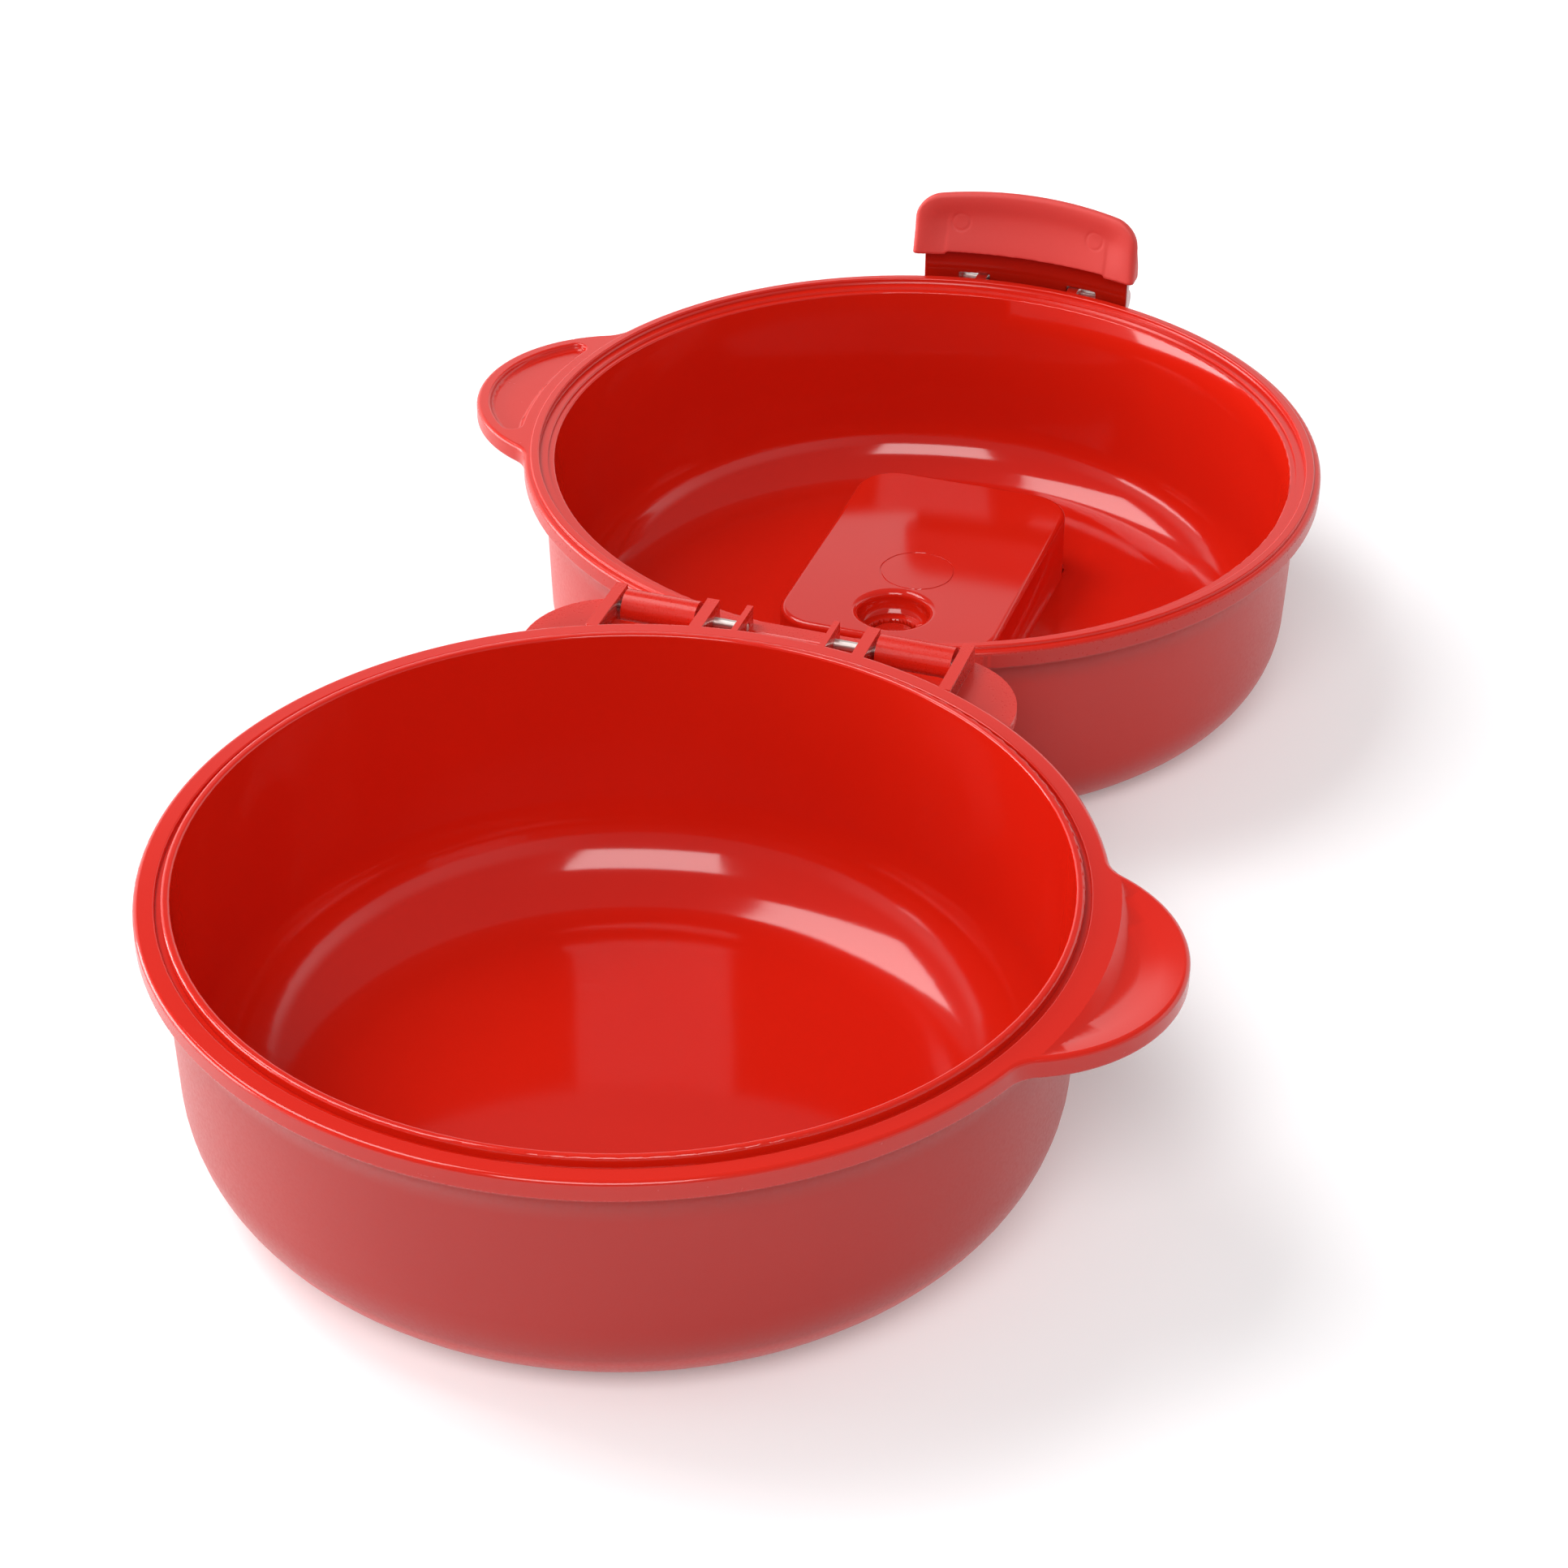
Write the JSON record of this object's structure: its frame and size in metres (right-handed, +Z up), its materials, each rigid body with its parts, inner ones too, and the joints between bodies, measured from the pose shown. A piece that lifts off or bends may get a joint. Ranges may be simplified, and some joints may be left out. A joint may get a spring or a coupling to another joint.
{
  "type": "microwave egg cooker",
  "caption": "Clamshell egg cooker: round base bowl and shallower lid bowl hinged at the rim, with ears, a finger clip that hooks under the base rim and a flap over the steam vent.",
  "frame": {"origin": "centre of the base bowl's flat underside, on the table", "axes": "+Z up, +Y from the base bowl to the open lid, +X along the hinge towards the base bowl's ear"},
  "size_m": [0.132, 0.2361, 0.0463],
  "materials": {
    "red_plastic": "gloss inside the bowls, satin outside",
    "pin_steel": "plain drawn wire"
  },
  "bodies": {
    "base": {"base_bowl": "red_plastic", "hinge_pin_left": "pin_steel", "hinge_pin_right": "pin_steel"},
    "lid": {"lid_bowl": "red_plastic", "latch_pin_left": "pin_steel", "latch_pin_right": "pin_steel"},
    "latch": {"latch_clip": "red_plastic"},
    "flap": {"vent_flap": "red_plastic"}
  },
  "joints": [
    {"name": "lid_hinge", "type": "hinge", "parent": "base", "child": "lid", "pos_m": [0, 0.0596, 0.035], "axis": [1, 0, 0], "range_deg": [0, 180]},
    {"name": "latch_hinge", "type": "hinge", "parent": "lid", "child": "latch", "pos_m": [0, 0.1784, 0.0303], "axis": [1, 0, 0], "range_deg": [-86, 0]},
    {"name": "vent_flap_hinge", "type": "hinge", "parent": "lid", "child": "flap", "pos_m": [0, 0.1434, 0.0017], "axis": [1, 0, 0], "range_deg": [0, 100]}
  ]
}
